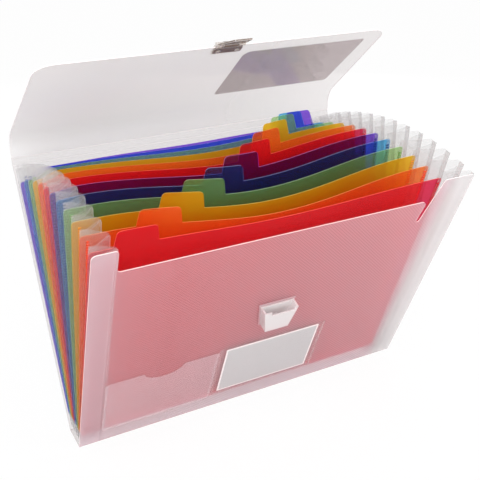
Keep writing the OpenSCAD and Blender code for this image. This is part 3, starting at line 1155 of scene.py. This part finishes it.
@dataclass
class FrontFittings:
    """What the front panel carries: the catch, the label in its sleeve, and the card pocket."""

    sizes: FileSizes
    finish: Finishes
    sleeve: Box = (-45.0, 20.0, 109.0, 71.0)
    card: Point = (96.0, 63.0)
    card_up: float = 4.0
    card_t: float = 0.4
    card_edge: float = 1.6  # width of the card's white border
    pocket: Box = (-150.5, 17.0, 105.0, 70.0)
    notch: Point = (18.0, 9.9)
    weld_w: float = 2.5
    corner: float = 3.0
    gap: float = 0.02

    def build(self) -> None:
        """Builds and places the fittings."""
        s, f = self.sizes, self.finish
        for node, width, mats, slot in (("catch_box", 0.45, [f.catch, f.catch_edge_highlight], "catch"),
                                        ("catch_plate", 0.3, [f.catch_plate, f.catch_plate], "catch"),
                                        ("catch_rivets", 0.25, [f.catch], "metal")):
            settle(softened(node, width, mats), "front", slot, node)
        r, e = self.corner, self.card_edge
        x, u, w, h = self.sleeve
        self.lay("label_sleeve_film", rounded(*self.sleeve, r), 0.87, [f.sleeve, f.weld], s.film_t, "film",
                 "label_sleeve")
        self.lay("label_sleeve_weld", self.border(self.sleeve), 0.37, [f.weld], 0.66, "film")
        cw, ch = self.card
        cx, cu = x + (w - cw) / 2, u + self.card_up
        self.lay("label_card_sheet", rounded(cx, cu, cw, ch, 0.6), 0.36, [f.card_border, f.card_border],
                 self.card_t, "card", "label_card")
        self.lay("label_tone", rounded(cx + e, cu + e, cw - 2 * e, ch - 2 * e, 0.6), 0.58, [f.card, f.card], 0.04,
                 "card")
        x, u, w, h = self.pocket
        notch = [(x + w / 2 + self.notch[0] * cos(a), u + h - self.notch[1] * sin(a))
                 for a in map(radians, range(0, 181, 10))]
        self.lay("card_pocket_film", rounded(x, u, w, h, r, notch), 0.67, [f.pocket, f.weld], s.film_t, "film",
                 "card_pocket")
        self.lay("card_pocket_weld", self.border(self.pocket), 0.27, [f.weld], 0.46, "film")

    def lay(self, name: str, outline: Sequence[Point], out: float, mats: Mats, thick: float,
            slot: str, *nodes: str) -> None:
        """Lays a film or card on the front panel, its middle so far out from it."""
        off = -(self.sizes.cover_t / 2 + self.gap) - out
        obj = flat_sheet(name, outline, lambda x, u: self.sizes.on(0, x, u, off), mats, thick)
        settle(obj, "front", slot, *nodes)

    def border(self, box: Box) -> list[Point]:
        """Outlines the welded border on three sides of a film pocket.

        Args:
            box: the pocket's left side, lower edge, width and height.

        Returns:
            The outline.
        """
        x, u, w, h = box
        b, r = self.weld_w, self.corner
        top = u + h - r
        return ([(x + w, top)] + arc(x + w - b / 2, top, b / 2, 0, 180, 4)[1:]
                + [(x + w - b, u + b + 1)] + arc(x + w - b - 1, u + b + 1, 1, 0, -90, 4)[1:]
                + arc(x + b + 1, u + b + 1, 1, 270, 180, 4) + [(x + b, top)]
                + arc(x + b / 2, top, b / 2, 0, 180, 4)[1:]
                + arc(x + r, u + r, r, 180, 270) + arc(x + w - r, u + r, r, 270, 360))


@dataclass
class Clasp:
    """The lid's clip: a riveted base with knuckles, a pin and a turning tongue."""

    finish: Finishes

    def build(self) -> None:
        """Builds and places the clasp."""
        f = self.finish
        for node, width, mats, body, slot in (
                ("clasp_base", 0.3, [f.clasp, f.clasp_edge_highlight], "lid", "clasp"),
                ("clasp_backplate", 0.25, [f.tongue, f.clasp_edge_highlight], "lid", "clasp"),
                ("clasp_rivets", 0.25, [f.clasp], "lid", "metal"),
                ("clasp_pin", 0.3, [f.steel], "lid", "metal"),
                ("clasp_tongue", 0.3, [f.tongue, f.clasp_edge_highlight], "tongue", "clasp")):
            settle(softened(node, width, mats), body, slot, node)


@dataclass
class Welds:
    """The rows of weld marks that hold the gussets to the dividers and to the cover."""

    sizes: FileSizes
    finish: Finishes
    pitch: float = 2.4
    div_span: Point = (22.0, 6.0)  # from the sheet's foot line and from a divider's top
    div_in: Point = (6.2, 2.5)  # from a divider's left and right end
    ear_span: Point = (16.0, 10.0)
    ear_in: Point = (17.0, 18.8)  # both rows from the cover's left side
    ear_count: int = 74
    div_tooth: Triple = (2.4, 0.9, 1.1)  # width, what it adds to the sheet's thickness, height
    ear_tooth: Triple = (0.9, 0.1, 1.6)

    @staticmethod
    def tree() -> NodeTree:
        """Builds the geometry node tree of two rows of weld marks along a line.

        Returns:
            The tree, with inputs Start, End, Left, Right, Count, Tooth, Turn and Finish.
        """
        tree = bpy.data.node_groups.new("weld_rows", "GeometryNodeTree")
        for name, kind in (("Start", "Vector"), ("End", "Vector"), ("Left", "Float"), ("Right", "Float"),
                           ("Count", "Int"), ("Tooth", "Vector"), ("Turn", "Vector"), ("Finish", "Material")):
            tree.interface.new_socket(name, in_out="INPUT", socket_type=f"NodeSocket{kind}")
        tree.interface.new_socket("Geometry", in_out="OUTPUT", socket_type="NodeSocketGeometry")
        given = add(tree, "NodeGroupInput").outputs
        tooth = add(tree, "GeometryNodeMeshCube", (given["Tooth"],))
        line = add(tree, "GeometryNodeCurvePrimitiveLine", (given["Start"], given["End"]))
        row = add(tree, "GeometryNodeResampleCurve", {"Curve": line, "Count": given["Count"]})
        both = add(tree, "GeometryNodeJoinGeometry")
        for side in ("Left", "Right"):
            shift = add(tree, "Math.MULTIPLY", (given[side], MM))
            move = add(tree, "CombineXYZ", (shift,))
            there = add(tree, "GeometryNodeTransform", {"Geometry": row, "Translation": move})
            marks = add(tree, "GeometryNodeInstanceOnPoints", {"Points": there, "Instance": tooth,
                                                               "Rotation": given["Turn"]})
            tree.links.new(marks.outputs[0], both.inputs[0])
        real = add(tree, "GeometryNodeRealizeInstances", (both,))
        done = add(tree, "GeometryNodeSetMaterial", {"Geometry": real, "Material": given["Finish"]})
        add(tree, "NodeGroupOutput", (done,))
        return tree

    def build(self) -> None:
        """Builds and places every row of marks."""
        s, f = self.sizes, self.finish
        tree = self.tree()
        low, high = self.div_span[0], s.div_top - self.div_span[1]
        sides = (s.div_l + self.div_in[0], s.div_r - self.div_in[1])
        rows = [(f"divider_{k:02d}_welds", k, (low, high), sides, round((high - low) / self.pitch), s.div_t,
                 self.div_tooth, f.dyes[Dye.of(k), Part.WELD], Dye.of(k).slot) for k in range(1, s.n_div + 1)]
        rows.append(("front_welds", 0, (self.ear_span[0], s.front_h - self.ear_span[1]),
                     (self.ear_in[0] - s.half_w, self.ear_in[1] - s.half_w), self.ear_count, s.cover_t,
                     self.ear_tooth, f.weld, "cover"))
        for name, k, (start, end), (left, right), count, sheet, (wide, more, high), finish, slot in rows:
            obj = show(name, bpy.data.meshes.new(name))
            mod = obj.modifiers.new("tree", "NODES")
            mod.node_group = tree
            values = {"Start": s.on(k, 0, start), "End": s.on(k, 0, end), "Left": left, "Right": right,
                      "Count": count, "Tooth": Vector((wide, sheet + more, high)) * MM,
                      "Turn": Vector((radians(s.lean(k)), 0.0, 0.0)), "Finish": finish}
            for item in tree.interface.items_tree:
                if item.in_out == "INPUT":
                    mod[item.identifier] = values[item.name]
            settle(freeze(obj), body_name(k), slot)


@dataclass
class Studio:
    """A pale floor, soft light and the camera, in metres."""

    spot: Vector = Vector((-303.4, -576.8, 460.8)) * MM
    look: Vector = Vector((0.42257, 0.80357, -0.41914))
    roll: float = -0.35
    lens: float = 59.26
    aim: Vector = Vector((0, 0, 0.15))
    lamps: tuple[tuple[str, Triple, float, float], ...] = (
        ("key", (-0.6, -0.8, 1.5), 1.2, 10.5), ("front", (-0.5, -1.4, 0.35), 1.0, 6.2),
        ("fill", (1.1, -0.6, 0.9), 1.0, 3), ("back", (0.6, 1.2, 0.2), 0.8, 4))  # name, place, size and watts
    floor_half: float = 8.0
    floor_low: float = 0.0002
    floor_white: float = 0.93  # the rest takes the shadow
    room_light: float = 0.85

    def build(self) -> None:
        """Builds the stage."""
        scene = bpy.context.scene
        scene.view_settings.view_transform = "Standard"
        scene.cycles.transparent_max_bounces = 96
        cam = bpy.data.cameras.new("camera")
        cam.lens, cam.sensor_width = self.lens, 36.0
        cam.clip_start, cam.clip_end = 0.01, 50
        obj = show("camera", cam)
        back = -self.look.normalized()
        right = Vector((0, 0, 1)).cross(back).normalized()
        turn = Matrix((right, back.cross(right), back)).transposed()
        turn @= Matrix.Rotation(radians(self.roll), 3, "Z")
        obj.matrix_world = Matrix.Translation(self.spot) @ turn.to_4x4()
        scene.camera = obj
        self.floor()
        self.world()
        for lamp in self.lamps:
            self.lamp(*lamp)

    def floor(self) -> None:
        """Lays a pale floor that keeps a soft shadow."""
        h = self.floor_half
        mat, t = new_material("floor")
        corners = [Vector((x, y, 0)) for x, y in ((-h, -h), (h, -h), (h, h), (-h, h))]
        obj = piece("floor", corners, [range(4)], [mat])
        path = add(t, "LightPath").outputs
        seen = add(t, "Math.ADD", (path["Is Camera Ray"], path["Is Glossy Ray"]))
        seen = add(t, "Math.ADD", (seen, path["Is Transmission Ray"]), use_clamp=True)
        white = add(t, "Emission", (WHITE, 1))
        matt = add(t, "BsdfDiffuse", (linear("#f4f4f4"),))
        share = add(t, "Math.MULTIPLY", (seen, self.floor_white))
        mixed = add(t, "MixShader", (share, matt, white))
        add(t, "OutputMaterial", (mixed,))
        obj.location.z = -self.floor_low

    def world(self) -> None:
        """Fills the room with even light and shows it white to the camera."""
        room = bpy.data.worlds.new("room")
        room.use_nodes = True
        t = room.node_tree
        t.nodes.clear()
        path = add(t, "LightPath").outputs
        seen = add(t, "Math.ADD", (path["Is Camera Ray"], path["Is Transmission Ray"]),
                   use_clamp=True)
        light, white = [add(t, "Background", (WHITE, strength)) for strength in (self.room_light, 1)]
        mixed = add(t, "MixShader", (seen, light, white))
        add(t, "OutputWorld", (mixed,))
        bpy.context.scene.world = room

    def lamp(self, name: str, place: Triple, size: float, power: float) -> None:
        """Hangs a soft lamp that points at the file.

        Args:
            name: its name.
            place: where it hangs.
            size: its width.
            power: its power in watts.
        """
        light = bpy.data.lights.new(name, "AREA")
        light.shape, light.size, light.energy = "DISK", size, power
        obj = show(name, light)
        obj.location = place
        obj.rotation_euler = (self.aim - Vector(place)).to_track_quat("-Z", "Y").to_euler()


def main() -> None:
    """Builds the whole scene in order."""
    logging.basicConfig(level=logging.INFO, format="%(message)s")
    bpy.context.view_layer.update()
    Studio().build()
    finish = Finishes()
    Cover(SIZES, finish).build()
    for k, bow in enumerate(BOWS, 1):
        Divider(SIZES, k, finish, bow).build()
    for k in range(SIZES.back):
        Gusset(SIZES, k, finish).build()
    Lid(SIZES, finish).build()
    FrontFittings(SIZES, finish).build()
    Clasp(finish).build()
    Welds(SIZES, finish).build()


if __name__ == "__main__":
    main()
